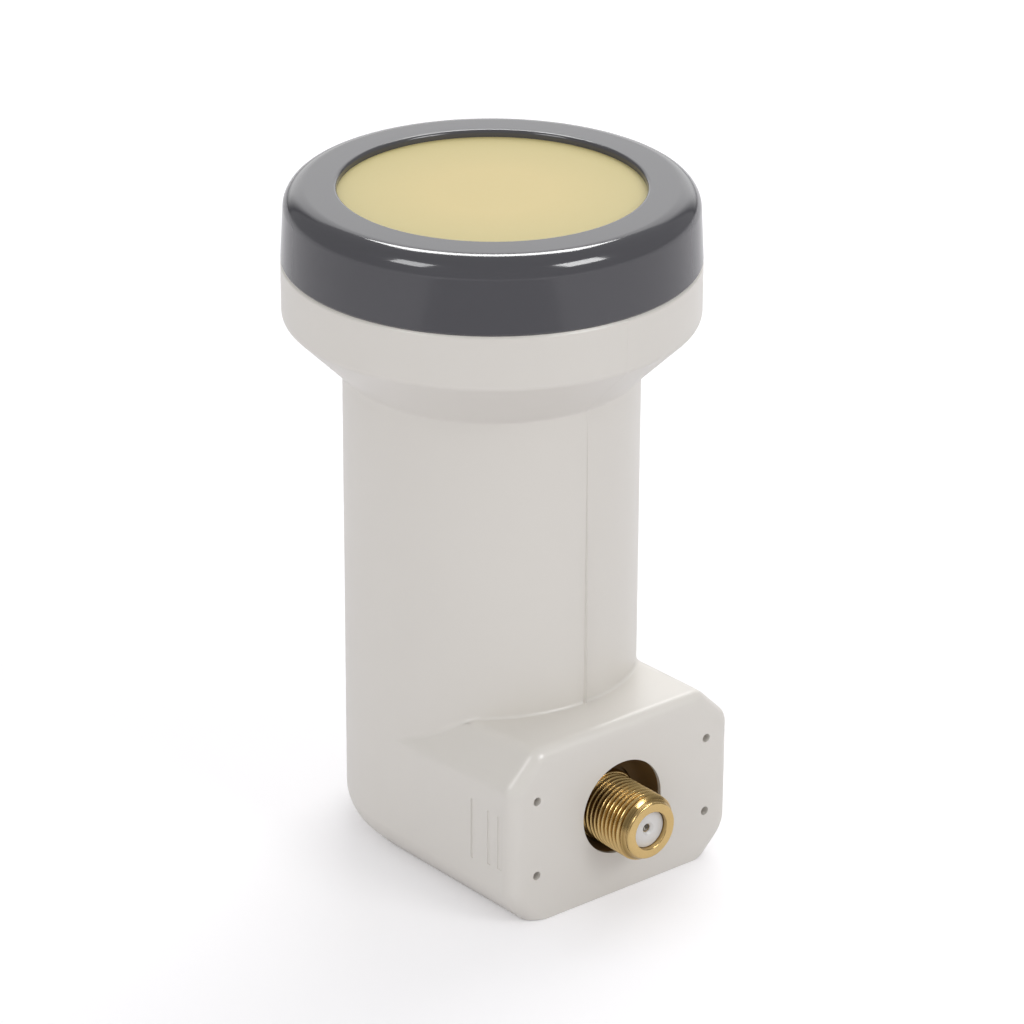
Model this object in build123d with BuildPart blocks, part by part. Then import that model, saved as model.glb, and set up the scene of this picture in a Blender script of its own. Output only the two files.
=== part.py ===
from build123d import *
import os
from math import cos, radians, sin, tan

os.makedirs("parts", exist_ok=True)

# Frame: the neck axis is Z, the foot stands on Z = 0 and the connector points along -Y. Millimetres.

# Case
neck_diameter = 40.0
neck_wall = 2.0
neck_length = 42.4
flare_angle = 45.0
flare_corner_radius = 0.5
rim_diameter = 56.0
rim_height = 7.4
rim_wall = 2.4
rim_edge_radius = 1.0
foot_height = 25.4
foot_wall = 2.0
foot_corner_cut = 3.5
foot_edge_radius = 2.5
foot_shoulder_cut = 4.8
foot_side_draft = 1.8
foot_top_slope = 3.2
face_distance = 28.4
face_edge_radius = 2.0
base_rim = 1.8
base_rim_height = 2.0

# Marks and recess on the foot
dimple_diameter = 1.25
dimple_depth = 0.9
dimple_spacing_across = 29.46
dimple_spacing_up = 11.16
groove_distances = (2.65, 4.7, 8.4)
groove_widths = (0.65, 0.55, 0.35)
groove_height = 8.4
groove_depth = 0.35
recess_diameter = 13.5
recess_wall = 1.6
recess_floor = 1.4

# Cap ring, window and seal
cap_height = 10.25
cap_top_diameter = 54.9
cap_shoulder_radius = 3.0
cap_opening_diameter = 40.9
cap_lip = 1.0
cap_lip_radius = 0.35
cap_wall = 1.55
cap_core_depth = 5.5
cap_skirt_depth = 5.5
cap_fit = 0.15
parting_chamfer = 0.3
window_thickness = 1.6
window_clearance = 0.2
seal_width = 1.8
seal_height = 1.8
seal_groove_depth = 1.0

# Feed horn
horn_clearance = 0.3
horn_rim_wall = 3.2
horn_floor = 3.0
horn_hub_overhang = 1.8
fin_width = 1.4
fin_gap = 2.2
inner_fin_height = 6.0
outer_fin_height = 11.5
inner_gap_depth = 4.5
outer_gap_depth = 6.0
horn_screw_circle = 22.2

# Waveguide and circuit box
waveguide_bore = 18.0
waveguide_wall = 2.0
tube_top = 70.0
flange_diameter = 26.0
flange_thickness = 3.0
collar_clearance = 0.2
chassis_clearance = 0.25
chassis_wall = 1.6
chassis_front_wall = 3.6
board_thickness = 1.0
board_clearance = 0.2
relief_width = 14.0
relief_depth = 6.0
relief_gap = 0.5

# Shield cover
shield_gap = 0.95
shield_wall = 1.4
shield_plate = 1.4
back_short_depth = 6.0
back_short_wall = 1.6
post_radius = 2.0
post_inset = 1.4
pocket_front = 16.8
pocket_back = 7.0
side_screw_front = 4.5
side_screw_edge = 0.3
pad_length = 14.0
pad_width = 4.6
pad_thickness = 1.0
pad_gap = 0.4

# Bottom cover
cover_thickness = 2.4
cover_clearance = 0.15
cover_seal_depth = 0.6
cover_seal_height = 0.8
cover_seal_level = 0.7
cover_post_radius = 1.9
cover_post_sink = 1.0
cover_screw_edge = 2.9

# Parts on the board, each placed by its distance across and its distance behind the pocket's front wall
chip_place = (-4.0, 3.2)
crystal_place = (-8.3, 5.0)
regulator_place = (5.2, 3.6)
choke_place = (0.9, 2.6)
transistor_places = ((-9.3, 8.2), (9.3, 8.2), (0.0, 5.0))
capacitor_places = ((-2.4, 5.8), (-1.1, 0.6), (1.4, 0.9), (8.6, 6.2), (-6.6, 6.6))
chip_size = 4.0
chip_height = 0.85
chip_corner = 0.5
crystal_length = 2.5
crystal_width = 2.0
crystal_base = 0.35
crystal_lid = 0.3
crystal_lid_step = 0.2
regulator_length = 4.5
regulator_width = 2.5
regulator_height = 1.5
regulator_lead_width = 0.4
regulator_lead_length = 0.8
regulator_lead_height = 0.4
choke_diameter = 2.2
choke_waist = 1.5
choke_height = 1.6
choke_flange = 0.35
transistor_length = 2.0
transistor_width = 1.25
transistor_height = 0.9
transistor_lead = 0.4
transistor_lead_height = 0.15
capacitor_length = 1.0
capacitor_width = 0.5
capacitor_height = 0.5

# Screws, the same small size throughout
screw_diameter = 2.0
screw_head_diameter = 3.4
screw_head_height = 1.2
screw_clearance = 0.15
thread_clearance = 0.03
horn_screw_length = 5.4
shield_screw_length = 12.0
cover_screw_length = 7.0
screw_tip_gap = 0.5
countersink_angle = 90.0

# Output connector
socket_drop = 1.15
socket_protrusion = 6.1
socket_thread_diameter = 9.525
socket_lip_diameter = 8.1
socket_lip_length = 0.9
socket_bore = 5.4
socket_bore_depth = 8.0
socket_tail_diameter = 8.0
socket_tail_gap = 0.6
socket_rear_bore = 4.0
shoulder_diameter = 10.0
shoulder_thickness = 1.2
socket_seal_thickness = 0.8
cup_wall = 0.5
cup_setback = 3.15
cup_fit = 0.02
insulator_recess = 0.75
insulator_hole = 1.25
insulator_fit = 0.02
contact_diameter = 1.7
contact_setback = 0.5
contact_bore = 1.1
contact_bore_depth = 4.0
contact_slot = 0.25
bush_length = 3.6
pin_diameter = 0.8
pin_reach = 1.2
pin_clearance = 0.8

# Sizes that follow from those above
neck_radius = neck_diameter / 2
rim_radius = rim_diameter / 2
flare_slope = tan(radians(flare_angle))
flare_base = foot_height + neck_length
rim_base = flare_base + (rim_radius - neck_radius) / flare_slope
rim_top = rim_base + rim_height
cap_top = rim_top + cap_height
neck_bore_radius = neck_radius - neck_wall
rim_bore_radius = rim_radius - rim_wall
flare_inner_radius = neck_radius - neck_wall / cos(radians(flare_angle))
side_draft = radians(foot_side_draft)
ceiling = foot_height - foot_wall
opening_front = face_distance - foot_wall
opening_inset = foot_corner_cut + base_rim
collar_radius = flange_diameter / 2
cap_top_radius = cap_top_diameter / 2
cap_opening_radius = cap_opening_diameter / 2
cap_taper = rim_radius - cap_top_radius
skirt_radius = rim_bore_radius - cap_fit
mouth_radius = skirt_radius - cap_wall
window_top = cap_top - cap_lip
window_bottom = window_top - window_thickness
seal_bottom = window_bottom - seal_height
horn_top = seal_bottom + seal_groove_depth
horn_radius = mouth_radius - horn_clearance
seal_radius = horn_radius - horn_rim_wall / 2
outer_fin_radius = horn_radius - horn_rim_wall - fin_gap - fin_width
inner_fin_radius = outer_fin_radius - fin_gap - fin_width
horn_floor_top = tube_top + horn_floor
inner_fin_top = horn_floor_top + inner_fin_height
outer_fin_top = horn_floor_top + outer_fin_height
horn_hub_radius = inner_fin_radius + horn_hub_overhang
waveguide_radius = waveguide_bore / 2
tube_radius = waveguide_radius + waveguide_wall
chassis_inset = opening_inset + chassis_clearance
chamber_inset = chassis_inset + chassis_wall
board_inset = chamber_inset + board_clearance
board_front = pocket_front + shield_wall
chamber_front = board_front + board_clearance
chassis_front = chamber_front + chassis_front_wall
recess_end = chassis_front + recess_floor
recess_depth = face_distance - recess_end
screw_radius = screw_diameter / 2
screw_head_radius = screw_head_diameter / 2
screw_hole_radius = screw_radius + screw_clearance
tapped_radius = screw_radius + thread_clearance
shield_bottom = cover_thickness + shield_gap + screw_head_height
shield_floor = shield_bottom + shield_plate
board_bottom = shield_floor + back_short_depth
board_top = board_bottom + board_thickness
back_short_radius = waveguide_radius + back_short_wall
socket_level = board_bottom - pin_diameter / 2
recess_level = socket_level + socket_drop
socket_reach = face_distance + socket_protrusion
cover_inset = opening_inset + cover_clearance
cover_front = opening_front - cover_clearance
cover_screw_seat = screw_head_height + thread_clearance
socket_thread_radius = socket_thread_diameter / 2
socket_lip_radius = socket_lip_diameter / 2
socket_tail_radius = socket_tail_diameter / 2
socket_lip_end = socket_reach - socket_lip_length
socket_bore_end = socket_reach - socket_bore_depth
socket_tail_end = chamber_front + socket_tail_gap
shoulder_back = recess_end + socket_seal_thickness
shoulder_front = shoulder_back + shoulder_thickness
insulator_front = socket_reach - insulator_recess
contact_front = insulator_front - contact_setback


def half_width(inset, front):
    """Half of the foot's width at a distance in front of the neck axis."""
    return (neck_radius - inset - front * sin(side_draft)) / cos(side_draft)


def foot_plan(inset, front):
    """Plan of the foot: a half circle behind, drafted sides tangent to it and a straight front."""
    radius = neck_radius - inset
    tangent_x = radius * cos(side_draft)
    tangent_y = -radius * sin(side_draft)
    front_x = half_width(inset, front)
    with BuildSketch() as plan:
        with BuildLine():
            Line((tangent_x, tangent_y), (front_x, -front))
            Line((front_x, -front), (-front_x, -front))
            Line((-front_x, -front), (-tangent_x, tangent_y))
            ThreePointArc((-tangent_x, tangent_y), (0, radius), (tangent_x, tangent_y))
        make_face()
    return plan.sketch


def long_edges(builder, level, front):
    """Edges at one level that run along the sides and round the back of a foot-shaped block."""
    edges = builder.edges().filter_by_position(Axis.Z, level - 0.01, level + 0.01)
    return edges.filter_by(lambda edge: edge.center().Y > -front + 0.01)


# Places of the screws in the foot and of the parts under the board
pocket_half_width = half_width(board_inset, pocket_front) - shield_wall
back_screw_offset = (waveguide_radius + neck_radius - board_inset) / 2 * cos(radians(45))
side_screw_offset = half_width(board_inset, side_screw_front) - screw_head_radius - side_screw_edge
shield_screw_points = [
    (side * across, along)
    for side in (1, -1)
    for across, along in (
        (pocket_half_width - post_inset, -pocket_front + post_inset),
        (side_screw_offset, -side_screw_front),
        (back_screw_offset, back_screw_offset),
    )
]
cover_post = (0, neck_radius - chamber_inset - cover_post_sink)
cover_screw_across = half_width(chassis_inset, chassis_front) - cover_screw_edge
cover_screw_along = -chassis_front + chassis_front_wall / 2
cover_screw_points = [
    cover_post,
    (cover_screw_across, cover_screw_along),
    (-cover_screw_across, cover_screw_along),
]


def board_point(place):
    """Point under the board for a place across and behind the pocket's front wall."""
    across, behind = place
    return (across, behind - pocket_front)


# Plane of the foot's top, and planes that look at the foot from the connector's side
top_slope = radians(foot_top_slope)
foot_top_plane = Plane(
    origin=(0, -face_distance, foot_height), x_dir=(1, 0, 0), z_dir=(0, sin(top_slope), cos(top_slope))
)
face_plane = Plane(origin=(0, -face_distance, recess_level), x_dir=(1, 0, 0), z_dir=(0, -1, 0))
socket_plane = Plane(origin=(0, 0, socket_level), x_dir=(1, 0, 0), z_dir=(0, -1, 0))
socket_axis = Axis((0, 0, socket_level), (0, -1, 0))

# Housing: one plastic moulding, hollow from the mouth and from below, with a plate across between them
with BuildPart() as foot_hollow:
    with BuildSketch():
        add(foot_plan(foot_wall, opening_front))
    extrude(amount=ceiling)
    chamfer(long_edges(foot_hollow, 0, opening_front), opening_inset - foot_wall + base_rim_height)
    chamfer(long_edges(foot_hollow, ceiling, opening_front), opening_inset - foot_wall)
    with BuildSketch():
        add(foot_plan(opening_inset, opening_front))
    extrude(amount=foot_corner_cut)
    with BuildSketch(face_plane):
        Circle(recess_diameter / 2 + recess_wall)
    extrude(amount=-recess_depth - recess_floor, mode=Mode.SUBTRACT)

with BuildPart() as housing:
    with BuildSketch():
        add(foot_plan(0, face_distance))
    extrude(amount=foot_height)
    chamfer(long_edges(housing, 0, face_distance), foot_corner_cut)
    fillet(long_edges(housing, foot_corner_cut, face_distance), foot_edge_radius)
    # The top falls from the face towards the neck
    split(bisect_by=foot_top_plane, keep=Keep.BOTTOM)
    top_edges = housing.faces().sort_by(Axis.Z)[-1].edges()
    chamfer(top_edges.filter_by(lambda edge: edge.center().Y > -face_distance + 0.01), foot_shoulder_cut)
    face_edges = housing.faces().sort_by(Axis.Y)[0].edges()
    fillet(face_edges.sort_by(Axis.Z)[1:], face_edge_radius)
    with BuildSketch(Plane.XZ) as neck_profile:
        with BuildLine():
            Polyline(
                (0, foot_height / 2),
                (neck_radius, foot_height / 2),
                (neck_radius, flare_base),
                (rim_radius, rim_base),
                (rim_radius, rim_top - parting_chamfer),
                (rim_radius - parting_chamfer, rim_top),
                (0, rim_top),
                close=True,
            )
        make_face()
        fillet(neck_profile.vertices().sort_by_distance((rim_radius, rim_base))[0], rim_edge_radius)
        fillet(neck_profile.vertices().sort_by_distance((neck_radius, flare_base))[0], flare_corner_radius)
    revolve(axis=Axis.Z)
    # Bore of the neck, flare and rim
    with BuildSketch(Plane.XZ):
        with BuildLine():
            Polyline(
                (0, foot_height),
                (neck_bore_radius, foot_height),
                (neck_bore_radius, flare_base + (neck_bore_radius - flare_inner_radius) / flare_slope),
                (rim_bore_radius, flare_base + (rim_bore_radius - flare_inner_radius) / flare_slope),
                (rim_bore_radius, rim_top),
                (0, rim_top),
                close=True,
            )
        make_face()
    revolve(axis=Axis.Z, mode=Mode.SUBTRACT)
    # Hollow of the foot, and the hole for the waveguide's collar in the plate above it
    add(foot_hollow.part, mode=Mode.SUBTRACT)
    with BuildSketch(Plane.XY.offset(ceiling)):
        Circle(collar_radius + collar_clearance)
    extrude(amount=foot_wall, mode=Mode.SUBTRACT)
    # Recess for the connector, the four dimples round it and the grooves on both sides
    with Locations(face_plane):
        Hole(recess_diameter / 2, depth=recess_depth)
        with GridLocations(dimple_spacing_across, dimple_spacing_up, 2, 2):
            Hole(dimple_diameter / 2, depth=dimple_depth)
    with Locations(socket_plane.offset(face_distance)):
        Hole(socket_tail_radius + screw_clearance, depth=recess_depth + recess_floor)
    for side in (1, -1):
        for distance, width in zip(groove_distances, groove_widths):
            front = face_distance - distance
            groove_plane = Plane(
                origin=(side * half_width(0, front), -front, foot_height / 2),
                x_dir=(-side * sin(side_draft), -cos(side_draft), 0),
                z_dir=(side * cos(side_draft), -sin(side_draft), 0),
            )
            with BuildSketch(groove_plane):
                Rectangle(width, groove_height)
            extrude(amount=-groove_depth, mode=Mode.SUBTRACT)

# Waveguide chassis: one casting, a tube up the neck on a box that is open below
with BuildPart() as waveguide_chassis:
    with BuildSketch(Plane.XY.offset(cover_thickness)):
        add(foot_plan(chassis_inset, chassis_front))
    extrude(amount=ceiling - cover_thickness)
    with BuildSketch(Plane.XY.offset(cover_thickness)):
        add(foot_plan(chamber_inset, chamber_front))
    extrude(amount=board_top - cover_thickness, mode=Mode.SUBTRACT)
    with BuildSketch(Plane.XY.offset(cover_thickness)):
        with Locations(cover_post):
            Circle(cover_post_radius)
    extrude(amount=board_top - cover_thickness)
    with BuildSketch(Plane.XZ):
        with BuildLine():
            Polyline(
                (0, ceiling),
                (collar_radius, ceiling),
                (collar_radius, foot_height),
                (tube_radius, foot_height),
                (tube_radius, tube_top - flange_thickness),
                (collar_radius, tube_top - flange_thickness),
                (collar_radius, tube_top),
                (0, tube_top),
                close=True,
            )
        make_face()
    revolve(axis=Axis.Z)
    with BuildSketch(Plane.XY.offset(board_top)):
        Circle(waveguide_radius)
    extrude(amount=tube_top - board_top, mode=Mode.SUBTRACT)
    # Relief above the parts of the board, in front of the waveguide
    with BuildSketch(Plane.XY.offset(board_top)):
        with Locations((0, -(chamber_front + tube_radius + relief_gap) / 2)):
            Rectangle(relief_width, chamber_front - tube_radius - relief_gap)
    extrude(amount=relief_depth, mode=Mode.SUBTRACT)
    # Tapped holes for the connector, the horn, the shield and the bottom cover
    with Locations(socket_plane.offset(chassis_front)):
        Hole(socket_tail_radius + thread_clearance, depth=chassis_front_wall)
    with Locations(Plane.XY.offset(tube_top)):
        with PolarLocations(horn_screw_circle / 2, 4, start_angle=45):
            Hole(tapped_radius, depth=horn_screw_length - horn_floor + screw_tip_gap)
    with BuildSketch(Plane.XY.offset(board_top)):
        with Locations(*shield_screw_points):
            Circle(tapped_radius)
    extrude(amount=shield_bottom + shield_screw_length + screw_tip_gap - board_top, mode=Mode.SUBTRACT)
    with BuildSketch(Plane.XY.offset(cover_thickness)):
        with Locations(*cover_screw_points):
            Circle(tapped_radius)
    extrude(amount=cover_screw_seat + cover_screw_length + screw_tip_gap - cover_thickness, mode=Mode.SUBTRACT)

# Feed horn: a casting of stepped ring fins, bolted on the waveguide's flange
with BuildPart() as feed_horn:
    with BuildSketch(Plane.XZ):
        with BuildLine():
            Polyline(
                (waveguide_radius, tube_top),
                (horn_hub_radius, tube_top),
                (horn_radius, tube_top + horn_radius - horn_hub_radius),
                (horn_radius, horn_top),
                (seal_radius + seal_width / 2, horn_top),
                (seal_radius + seal_width / 2, seal_bottom),
                (seal_radius - seal_width / 2, seal_bottom),
                (seal_radius - seal_width / 2, horn_top),
                (horn_radius - horn_rim_wall, horn_top),
                (horn_radius - horn_rim_wall, outer_fin_top - outer_gap_depth),
                (outer_fin_radius + fin_width, outer_fin_top - outer_gap_depth),
                (outer_fin_radius + fin_width, outer_fin_top),
                (outer_fin_radius, outer_fin_top),
                (outer_fin_radius, inner_fin_top - inner_gap_depth),
                (inner_fin_radius + fin_width, inner_fin_top - inner_gap_depth),
                (inner_fin_radius + fin_width, inner_fin_top),
                (inner_fin_radius, inner_fin_top),
                (inner_fin_radius, horn_floor_top),
                (waveguide_radius, horn_floor_top),
                close=True,
            )
        make_face()
    revolve(axis=Axis.Z)
    with Locations(Plane.XY.offset(horn_floor_top)):
        with PolarLocations(horn_screw_circle / 2, 4, start_angle=45):
            CounterSinkHole(
                screw_hole_radius,
                screw_head_radius,
                depth=horn_floor,
                counter_sink_angle=countersink_angle,
            )

# Horn screws: four countersunk screws, down through the horn's floor into the flange
with BuildPart() as horn_screws:
    with Locations(Plane.XY.offset(horn_floor_top)):
        with PolarLocations(horn_screw_circle / 2, 4, start_angle=45):
            Cylinder(screw_radius, horn_screw_length, align=(Align.CENTER, Align.CENTER, Align.MAX))
            Cone(
                screw_radius,
                screw_head_radius,
                screw_head_radius - screw_radius,
                align=(Align.CENTER, Align.CENTER, Align.MAX),
            )

# Window seal: rubber ring in the groove of the horn's rim
with BuildPart() as window_seal:
    with BuildSketch(Plane.XY.offset(seal_bottom)):
        Circle(seal_radius + seal_width / 2)
        Circle(seal_radius - seal_width / 2, mode=Mode.SUBTRACT)
    extrude(amount=seal_height)

# Feed window: thin plastic disc, trapped between the seal and the lip of the cap ring
with BuildPart() as feed_window:
    with BuildSketch(Plane.XY.offset(window_bottom)):
        Circle(mouth_radius - window_clearance)
    extrude(amount=window_thickness)

# Cap ring: glossy moulding on the rim, with a skirt that plugs into it and a slot that keeps its wall even
with BuildPart() as cap_ring:
    with BuildSketch(Plane.XZ) as ring_profile:
        with BuildLine():
            Polyline(
                (cap_opening_radius, rim_top),
                (rim_radius - parting_chamfer, rim_top),
                (rim_radius, rim_top + parting_chamfer),
                (cap_top_radius, cap_top),
                (cap_opening_radius, cap_top),
                close=True,
            )
        make_face()
        fillet(ring_profile.vertices().sort_by_distance((cap_top_radius, cap_top))[0], cap_shoulder_radius)
        fillet(ring_profile.vertices().sort_by_distance((cap_opening_radius, cap_top))[0], cap_lip_radius)
    revolve(axis=Axis.Z)
    with BuildSketch(Plane.XZ):
        with BuildLine():
            Polyline(
                (mouth_radius, rim_top),
                (rim_radius - cap_wall, rim_top),
                (rim_radius - cap_wall - cap_taper * cap_core_depth / cap_height, rim_top + cap_core_depth),
                (mouth_radius, rim_top + cap_core_depth),
                close=True,
            )
        make_face()
    revolve(axis=Axis.Z, mode=Mode.SUBTRACT)
    with BuildSketch(Plane.XY.offset(rim_top - cap_skirt_depth)):
        Circle(skirt_radius)
    extrude(amount=cap_skirt_depth + cap_core_depth)
    with BuildSketch(Plane.XY.offset(rim_top - cap_skirt_depth)):
        Circle(mouth_radius)
    extrude(amount=window_top - rim_top + cap_skirt_depth, mode=Mode.SUBTRACT)

# Circuit board: lies under the end of the waveguide, cut away round the post for the bottom cover
with BuildPart() as circuit_board:
    with BuildSketch(Plane.XY.offset(board_bottom)):
        add(foot_plan(board_inset, board_front))
        with Locations(cover_post):
            Circle(cover_post_radius + board_clearance, mode=Mode.SUBTRACT)
        with Locations(*shield_screw_points):
            Circle(screw_hole_radius, mode=Mode.SUBTRACT)
    extrude(amount=board_thickness)

# Shield cover: casting with the cup that ends the waveguide and a pocket for the parts on the board
with BuildPart() as shield_cover:
    with BuildSketch(Plane.XY.offset(shield_bottom)):
        add(foot_plan(board_inset, board_front))
        with Locations(cover_post):
            Circle(cover_post_radius + board_clearance, mode=Mode.SUBTRACT)
    extrude(amount=board_bottom - shield_bottom)
    with BuildSketch(Plane.XY.offset(shield_floor)):
        with Locations((0, -(pocket_front + pocket_back) / 2)):
            Rectangle(2 * pocket_half_width, pocket_front - pocket_back)
        Circle(back_short_radius, mode=Mode.SUBTRACT)
        with Locations(*shield_screw_points):
            Circle(post_radius, mode=Mode.SUBTRACT)
    extrude(amount=back_short_depth, mode=Mode.SUBTRACT)
    with BuildSketch(Plane.XY.offset(shield_floor)):
        Circle(waveguide_radius)
    extrude(amount=back_short_depth, mode=Mode.SUBTRACT)
    with BuildSketch(Plane.XY.offset(shield_bottom)):
        with Locations(*shield_screw_points):
            Circle(screw_hole_radius)
    extrude(amount=board_bottom - shield_bottom, mode=Mode.SUBTRACT)
    # Way through the front wall for the connector's pin
    with BuildSketch(socket_plane.offset(pocket_front)):
        Circle(pin_diameter / 2 + pin_clearance)
    extrude(amount=shield_wall, mode=Mode.SUBTRACT)

# Shield screws: six, up through the shield cover and the board into the chassis
with BuildPart() as shield_screws:
    with BuildSketch(Plane.XY.offset(shield_bottom)):
        with Locations(*shield_screw_points):
            Circle(screw_radius)
    extrude(amount=shield_screw_length)
    with BuildSketch(Plane.XY.offset(shield_bottom)):
        with Locations(*shield_screw_points):
            Circle(screw_head_radius)
    extrude(amount=-screw_head_height)

# Absorber pad: lossy sheet glued on the floor of the pocket, between the posts
with BuildPart() as absorber_pad:
    with BuildSketch(Plane.XY.offset(shield_floor)):
        with Locations((0, -(pocket_front - pad_gap - pad_width / 2))):
            Rectangle(pad_length, pad_width)
    extrude(amount=pad_thickness)

# Converter chip: square package with one corner cut as its mark
with BuildPart() as converter_chip:
    with BuildSketch(Plane.XY.offset(board_bottom)) as chip_outline:
        with Locations(board_point(chip_place)):
            Rectangle(chip_size, chip_size)
        chamfer(chip_outline.vertices().group_by(Axis.X)[0].sort_by(Axis.Y)[0], chip_corner)
    extrude(amount=-chip_height)

# Crystal: ceramic tray with a smaller metal lid
with BuildPart() as crystal:
    with BuildSketch(Plane.XY.offset(board_bottom)):
        with Locations(board_point(crystal_place)):
            Rectangle(crystal_length, crystal_width)
    extrude(amount=-crystal_base)
    with BuildSketch(Plane.XY.offset(board_bottom - crystal_base)):
        with Locations(board_point(crystal_place)):
            Rectangle(crystal_length - 2 * crystal_lid_step, crystal_width - 2 * crystal_lid_step)
    extrude(amount=-crystal_lid)

# Regulator: moulded body with a cooling tab behind and three leads in front
with BuildPart() as regulator:
    with BuildSketch(Plane.XY.offset(board_bottom)):
        with Locations(board_point(regulator_place)):
            Rectangle(regulator_length, regulator_width)
    extrude(amount=-regulator_height)
    with BuildSketch(Plane.XY.offset(board_bottom)):
        with Locations(board_point(regulator_place)):
            with Locations((0, -(regulator_width + regulator_lead_length) / 2)):
                with GridLocations(regulator_length / 3, 0, 3, 1):
                    Rectangle(regulator_lead_width, regulator_lead_length)
            with Locations((0, (regulator_width + regulator_lead_length / 2) / 2)):
                Rectangle(regulator_length / 2, regulator_lead_length / 2)
    extrude(amount=-regulator_lead_height)

# Supply choke: drum core with a waist for its winding
with BuildPart() as supply_choke:
    with BuildSketch(Plane.XY.offset(board_bottom)):
        with Locations(board_point(choke_place)):
            Circle(choke_waist / 2)
    extrude(amount=-choke_height)
    for level in (board_bottom, board_bottom - choke_height + choke_flange):
        with BuildSketch(Plane.XY.offset(level)):
            with Locations(board_point(choke_place)):
                Circle(choke_diameter / 2)
        extrude(amount=-choke_flange)

# Amplifier transistors: three, each with leads on both sides
with BuildPart() as amplifier_transistors:
    with BuildSketch(Plane.XY.offset(board_bottom)):
        with Locations(*map(board_point, transistor_places)):
            Rectangle(transistor_length, transistor_width)
    extrude(amount=-transistor_height)
    with BuildSketch(Plane.XY.offset(board_bottom)):
        with Locations(*map(board_point, transistor_places)):
            with GridLocations(transistor_length / 2, 0, 2, 1):
                Rectangle(transistor_lead, transistor_width + 2 * transistor_lead)
    extrude(amount=-transistor_lead_height)

# Chip capacitors
with BuildPart() as chip_capacitors:
    with BuildSketch(Plane.XY.offset(board_bottom)):
        with Locations(*map(board_point, capacitor_places)):
            Rectangle(capacitor_length, capacitor_width)
    extrude(amount=-capacitor_height)

# Connector body: turned socket with a shoulder on the seal and a tail tapped into the chassis
with BuildPart() as connector_body:
    with BuildSketch(Plane.YZ):
        with BuildLine():
            Polyline(
                (-socket_reach, socket_level + socket_bore / 2),
                (-socket_reach, socket_level + socket_lip_radius),
                (-socket_lip_end, socket_level + socket_lip_radius),
                (-socket_lip_end + socket_thread_radius - socket_lip_radius, socket_level + socket_thread_radius),
                (-shoulder_front, socket_level + socket_thread_radius),
                (-shoulder_front, socket_level + shoulder_diameter / 2),
                (-shoulder_back, socket_level + shoulder_diameter / 2),
                (-shoulder_back, socket_level + socket_tail_radius),
                (-socket_tail_end, socket_level + socket_tail_radius),
                (-socket_tail_end, socket_level + socket_rear_bore / 2),
                (-socket_bore_end, socket_level + socket_rear_bore / 2),
                (-socket_bore_end, socket_level + socket_bore / 2),
                close=True,
            )
        make_face()
    revolve(axis=socket_axis)

# Connector seal: rubber cup that lines the recess, with its floor pressed under the shoulder
with BuildPart() as connector_seal:
    with BuildSketch(face_plane.offset(-recess_depth)):
        Circle(recess_diameter / 2 - cup_fit)
    extrude(amount=recess_depth - cup_setback)
    with BuildSketch(face_plane.offset(-cup_setback)):
        Circle(recess_diameter / 2 - cup_wall)
    extrude(amount=cup_setback + socket_seal_thickness - recess_depth, mode=Mode.SUBTRACT)
    with Locations(socket_plane.offset(shoulder_back)):
        Hole(socket_tail_radius + screw_clearance, depth=socket_seal_thickness)

# Connector insulator: plastic core with a small hole in front and a chamber for the contact behind
with BuildPart() as connector_insulator:
    with BuildSketch(socket_plane.offset(socket_bore_end)):
        Circle(socket_bore / 2 - insulator_fit)
    extrude(amount=insulator_front - socket_bore_end)
    with Locations(socket_plane.offset(insulator_front)):
        Hole(insulator_hole / 2, depth=insulator_front - socket_bore_end)
    with Locations(Plane(socket_plane.offset(socket_bore_end).location * Rotation(180, 0, 0))):
        Hole(contact_diameter / 2 + insulator_fit, depth=contact_front - socket_bore_end)

# Connector contact: sprung split tube with a pin to the board
with BuildPart() as connector_contact:
    with BuildSketch(socket_plane.offset(socket_bore_end)):
        Circle(contact_diameter / 2)
    extrude(amount=contact_front - socket_bore_end)
    with Locations(socket_plane.offset(contact_front)):
        Hole(contact_bore / 2, depth=contact_bore_depth)
    with BuildSketch(socket_plane.offset(contact_front)):
        Rectangle(contact_diameter, contact_slot)
    extrude(amount=-contact_bore_depth, mode=Mode.SUBTRACT)
    with BuildSketch(socket_plane.offset(pocket_front - pin_reach)):
        Circle(pin_diameter / 2)
    extrude(amount=socket_bore_end - pocket_front + pin_reach)

# Connector bush: insulator at the socket's rear that centres the pin
with BuildPart() as connector_bush:
    with BuildSketch(socket_plane.offset(socket_tail_end)):
        Circle(socket_rear_bore / 2)
        Circle(pin_diameter / 2 + insulator_fit, mode=Mode.SUBTRACT)
    extrude(amount=bush_length)

# Bottom cover: plate that closes the foot, with a groove round its edge for the seal
with BuildPart() as bottom_cover:
    with BuildSketch():
        add(foot_plan(cover_inset, cover_front))
    extrude(amount=cover_thickness)
    with BuildSketch(Plane.XY.offset(cover_seal_level)):
        add(foot_plan(cover_inset, cover_front))
        add(foot_plan(cover_inset + cover_seal_depth, cover_front - cover_seal_depth), mode=Mode.SUBTRACT)
    extrude(amount=cover_seal_height, mode=Mode.SUBTRACT)
    with BuildSketch():
        with Locations(*cover_screw_points):
            Circle(screw_head_radius + screw_clearance)
    extrude(amount=cover_screw_seat, mode=Mode.SUBTRACT)
    with BuildSketch():
        with Locations(*cover_screw_points):
            Circle(screw_hole_radius)
    extrude(amount=cover_thickness, mode=Mode.SUBTRACT)

# Bottom seal: rubber cord in that groove, against the edge of the housing's opening
with BuildPart() as bottom_seal:
    with BuildSketch(Plane.XY.offset(cover_seal_level)):
        add(foot_plan(opening_inset, opening_front))
        add(foot_plan(cover_inset + cover_seal_depth, cover_front - cover_seal_depth), mode=Mode.SUBTRACT)
    extrude(amount=cover_seal_height)

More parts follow.
